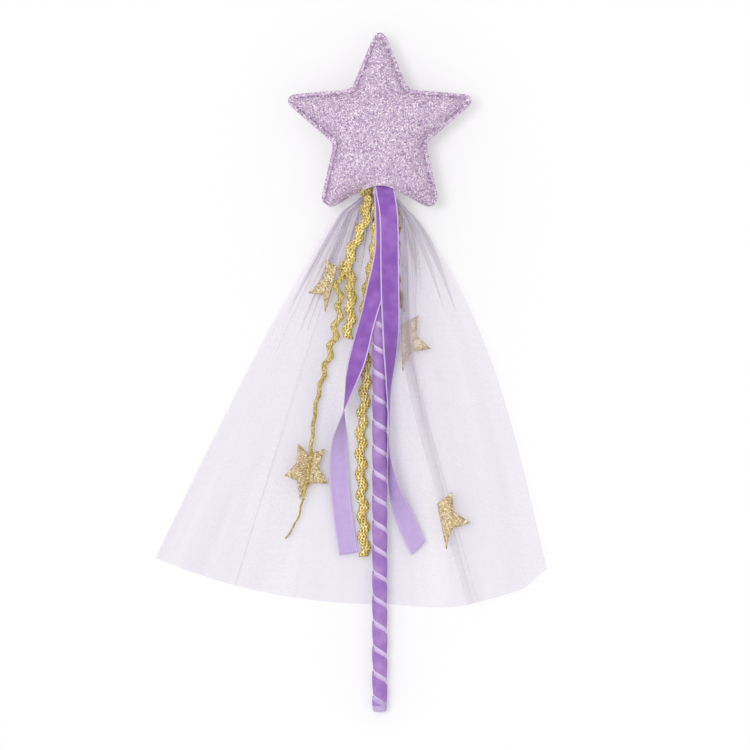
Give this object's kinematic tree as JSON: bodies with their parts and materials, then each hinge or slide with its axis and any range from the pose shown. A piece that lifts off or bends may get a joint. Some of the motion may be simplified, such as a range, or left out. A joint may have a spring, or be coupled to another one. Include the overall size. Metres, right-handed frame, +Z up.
{
  "type": "toy magic wand",
  "caption": "Toy magic wand: padded glitter star on a velvet-wrapped stick, with a tulle skirt, velvet ribbons, gold ric-rac and small glitter stars gathered at the neck.",
  "frame": {"origin": "on the table, under the middle of the object's box", "axes": "+Y from the handle's end to the star's top tip, +X to the right, +Z up from the table"},
  "size_m": [0.2066, 0.36, 0.026],
  "materials": {
    "stick_wood": "plain",
    "velvet": "velvet",
    "velvet_end": "velvet",
    "thread": "matte",
    "glitter_fabric": "glitter",
    "filling": "matte",
    "tulle": "sheer net",
    "gold_braid": "metallic thread",
    "gold_glitter": "glitter"
  },
  "bodies": {
    "wand": {"stick": "stick_wood", "handle_wrap": "velvet", "wrap_end_tuck": "velvet_end", "neck_binding": "thread", "star_front_panel": "glitter_fabric", "star_back_panel": "glitter_fabric", "star_filling": "filling", "tulle_gather": "tulle", "tulle_back_panel": "tulle"},
    "centre_braid": {"ricrac_centre": "gold_braid"},
    "left_ribbon": {"velvet_ribbon_left": "velvet"},
    "right_ribbon": {"velvet_ribbon_right": "velvet"},
    "left_tulle": {"tulle_left_panel": "tulle"},
    "star_cord": {"gold_cord": "gold_braid", "star_charm_upper_left": "gold_glitter", "star_charm_lower_left": "gold_glitter"},
    "left_braid": {"ricrac_left": "gold_braid"},
    "right_braid": {"ricrac_right": "gold_braid", "star_charm_upper_right": "gold_glitter"},
    "right_tulle": {"tulle_right_panel": "tulle", "star_charm_right": "gold_glitter"}
  },
  "joints": [
    {"name": "centre_braid_lift", "type": "hinge", "parent": "wand", "child": "centre_braid", "pos_m": [0.0155, 0.0955, 0.018], "axis": [-1, 0, 0], "range_deg": [0, 20]},
    {"name": "left_ribbon_lift", "type": "hinge", "parent": "centre_braid", "child": "left_ribbon", "pos_m": [0.0155, 0.0945, 0.0193], "axis": [-1, 0, 0], "range_deg": [0, 20]},
    {"name": "right_ribbon_lift", "type": "hinge", "parent": "left_ribbon", "child": "right_ribbon", "pos_m": [0.0155, 0.0945, 0.0206], "axis": [-1, 0, 0], "range_deg": [0, 20]},
    {"name": "left_tulle_lift", "type": "hinge", "parent": "wand", "child": "left_tulle", "pos_m": [0.0155, 0.0955, 0.013], "axis": [-1, 0, 0], "range_deg": [0, 15]},
    {"name": "star_cord_lift", "type": "hinge", "parent": "left_tulle", "child": "star_cord", "pos_m": [0.007, 0.0945, 0.0132], "axis": [-1, 0, 0], "range_deg": [0, 15]},
    {"name": "left_braid_lift", "type": "hinge", "parent": "star_cord", "child": "left_braid", "pos_m": [0.0083, 0.0945, 0.0156], "axis": [-1, 0, 0], "range_deg": [0, 15]},
    {"name": "right_braid_lift", "type": "hinge", "parent": "wand", "child": "right_braid", "pos_m": [0.0209, 0.0955, 0.013], "axis": [-1, 0, 0], "range_deg": [0, 6]},
    {"name": "right_tulle_lift", "type": "hinge", "parent": "right_braid", "child": "right_tulle", "pos_m": [0.0209, 0.0955, 0.013], "axis": [-1, 0, 0], "range_deg": [0, 20]}
  ]
}
